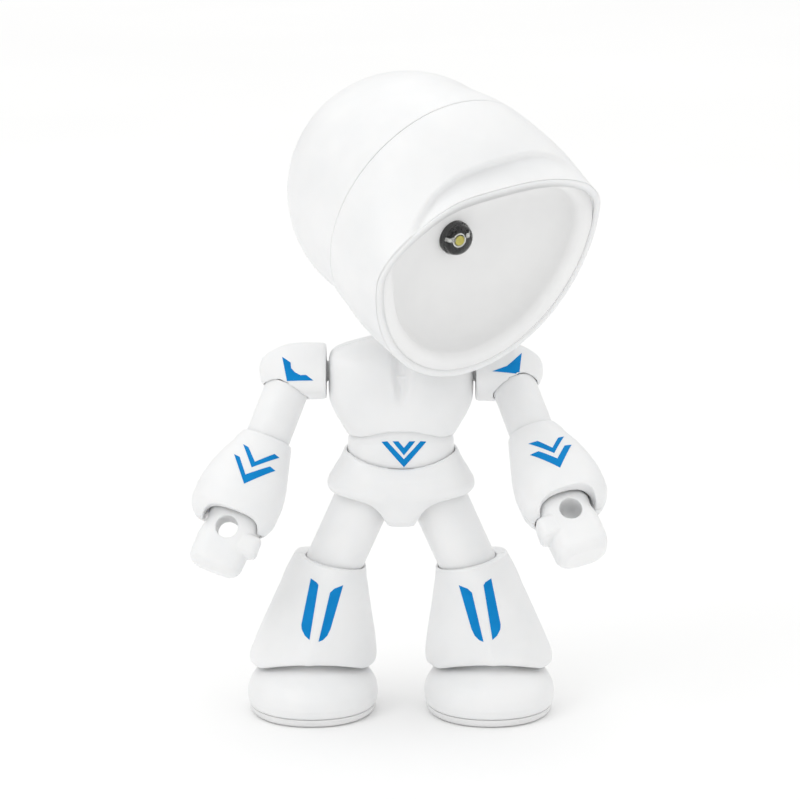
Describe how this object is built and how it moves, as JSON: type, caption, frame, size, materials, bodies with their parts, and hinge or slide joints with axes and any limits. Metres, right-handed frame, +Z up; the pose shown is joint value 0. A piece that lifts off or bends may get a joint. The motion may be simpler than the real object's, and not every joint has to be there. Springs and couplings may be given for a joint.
{
  "type": "posable robot figure light",
  "caption": "Small posable toy robot figure with ball-jointed hooded head that holds a reflector and an LED, turning waist, swinging limbs and flat feet.",
  "frame": {"origin": "centre of the whole robot's box on the surface it stands on", "axes": "+Z up, -Y the way the chest and the feet face, +X the robot's left"},
  "size_m": [0.0634, 0.046, 0.1014],
  "materials": {
    "white_shell": "satin moulded white plastic",
    "reflector": "satin white bowl",
    "led_lens": "clear water-white resin",
    "board": "green board",
    "steel": "plain steel",
    "cell_can": "nickel-plated can",
    "black": "black plastic",
    "red_lead": "red lead sleeve",
    "sole": "pale soft plastic"
  },
  "bodies": {
    "pelvis": {"pelvis_front": "white_shell", "pelvis_back": "white_shell", "pelvis_screw": "steel", "hip_axle": "steel", "abdomen": "white_shell"},
    "chest": {"chest_front": "white_shell", "chest_back": "white_shell", "chest_screw": "steel"},
    "neck": {"neck_post": "white_shell"},
    "head": {"head_front_hood": "white_shell", "head_back_shell": "white_shell", "battery_cover": "white_shell", "battery_cover_screw": "steel", "reflector": "reflector", "led": "led_lens", "led_board": "board", "battery_tray": "black", "cell_1": "cell_can", "cell_2": "cell_can", "cell_3": "cell_can", "contact_plate": "steel", "contact_spring": "steel", "power_switch": "black", "lead_red": "red_lead", "lead_black": "black", "neck_socket": "white_shell"},
    "power_button": {"power_button": "sole"},
    "arm_right": {"shoulder_cap_right": "white_shell", "upper_arm_right": "white_shell"},
    "forearm_right": {"forearm_front_right": "white_shell", "forearm_back_right": "white_shell"},
    "hand_right": {"hand_right": "white_shell"},
    "thigh_right": {"thigh_right": "white_shell"},
    "shin_right": {"shin_front_right": "white_shell", "shin_back_right": "white_shell"},
    "foot_right": {"foot_right": "white_shell", "foot_sole_right": "sole"},
    "arm_left": {"shoulder_cap_left": "white_shell", "upper_arm_left": "white_shell"},
    "forearm_left": {"forearm_front_left": "white_shell", "forearm_back_left": "white_shell"},
    "hand_left": {"hand_left": "white_shell"},
    "thigh_left": {"thigh_left": "white_shell"},
    "shin_left": {"shin_front_left": "white_shell", "shin_back_left": "white_shell"},
    "foot_left": {"foot_left": "white_shell", "foot_sole_left": "sole"}
  },
  "joints": [
    {"name": "waist_turn", "type": "hinge", "parent": "pelvis", "child": "chest", "pos_m": [0.0005, 0.0118, 0.0446], "axis": [0, 0, 1], "range_deg": [-35, 35]},
    {"name": "neck_turn", "type": "hinge", "parent": "chest", "child": "neck", "pos_m": [0.0005, 0.0118, 0.0679], "axis": [0, 0, 1], "range_deg": [-65, 8]},
    {"name": "head_tilt", "type": "hinge", "parent": "neck", "child": "head", "pos_m": [0.0005, 0.0118, 0.0679], "axis": [0.788, 0.6157, 0], "range_deg": [-22, 2]},
    {"name": "power_button_press", "type": "slide", "parent": "head", "child": "power_button", "axis": [0.5406, -0.5599, -0.6279], "range_m": [0, 0.0008], "stiffness_N_per_m": 300},
    {"name": "shoulder_swing_right", "type": "hinge", "parent": "chest", "child": "arm_right", "pos_m": [-0.011, 0.0118, 0.0542], "axis": [1, 0, 0], "range_deg": [-43, 50]},
    {"name": "forearm_turn_right", "type": "hinge", "parent": "arm_right", "child": "forearm_right", "pos_m": [-0.02016, 0.00773, 0.04413], "axis": [-0.3502, -0.3509, -0.8685], "range_deg": [-60, 60]},
    {"name": "wrist_turn_right", "type": "hinge", "parent": "forearm_right", "child": "hand_right", "pos_m": [-0.02419, 0.00369, 0.03414], "axis": [-0.3502, -0.3509, -0.8685], "range_deg": [-60, 60]},
    {"name": "hip_swing_right", "type": "hinge", "parent": "pelvis", "child": "thigh_right", "pos_m": [-0.0051, 0.0118, 0.0346], "axis": [1, 0, 0], "range_deg": [-22, 22]},
    {"name": "knee_turn_right", "type": "hinge", "parent": "thigh_right", "child": "shin_right", "pos_m": [-0.00982, 0.0118, 0.024], "axis": [-0.4067, 0, -0.9135], "range_deg": [-25, 25]},
    {"name": "ankle_tilt_right", "type": "hinge", "parent": "shin_right", "child": "foot_right", "pos_m": [-0.0131, 0.0118, 0.0116], "axis": [1, 0, 0], "range_deg": [-4, 4]},
    {"name": "shoulder_swing_left", "type": "hinge", "parent": "chest", "child": "arm_left", "pos_m": [0.012, 0.0118, 0.0542], "axis": [1, 0, 0], "range_deg": [-26, 64]},
    {"name": "forearm_turn_left", "type": "hinge", "parent": "arm_left", "child": "forearm_left", "pos_m": [0.02072, 0.00494, 0.04558], "axis": [0.3123, -0.5914, -0.7435], "range_deg": [-60, 60]},
    {"name": "wrist_turn_left", "type": "hinge", "parent": "forearm_left", "child": "hand_left", "pos_m": [0.02431, -0.00186, 0.03703], "axis": [0.3123, -0.5914, -0.7435], "range_deg": [-60, 60]},
    {"name": "hip_swing_left", "type": "hinge", "parent": "pelvis", "child": "thigh_left", "pos_m": [0.0061, 0.0118, 0.0346], "axis": [1, 0, 0], "range_deg": [-22, 22]},
    {"name": "knee_turn_left", "type": "hinge", "parent": "thigh_left", "child": "shin_left", "pos_m": [0.01082, 0.0118, 0.024], "axis": [0.4067, 0, -0.9135], "range_deg": [-25, 25]},
    {"name": "ankle_tilt_left", "type": "hinge", "parent": "shin_left", "child": "foot_left", "pos_m": [0.0141, 0.0118, 0.0116], "axis": [1, 0, 0], "range_deg": [-4, 4]}
  ]
}
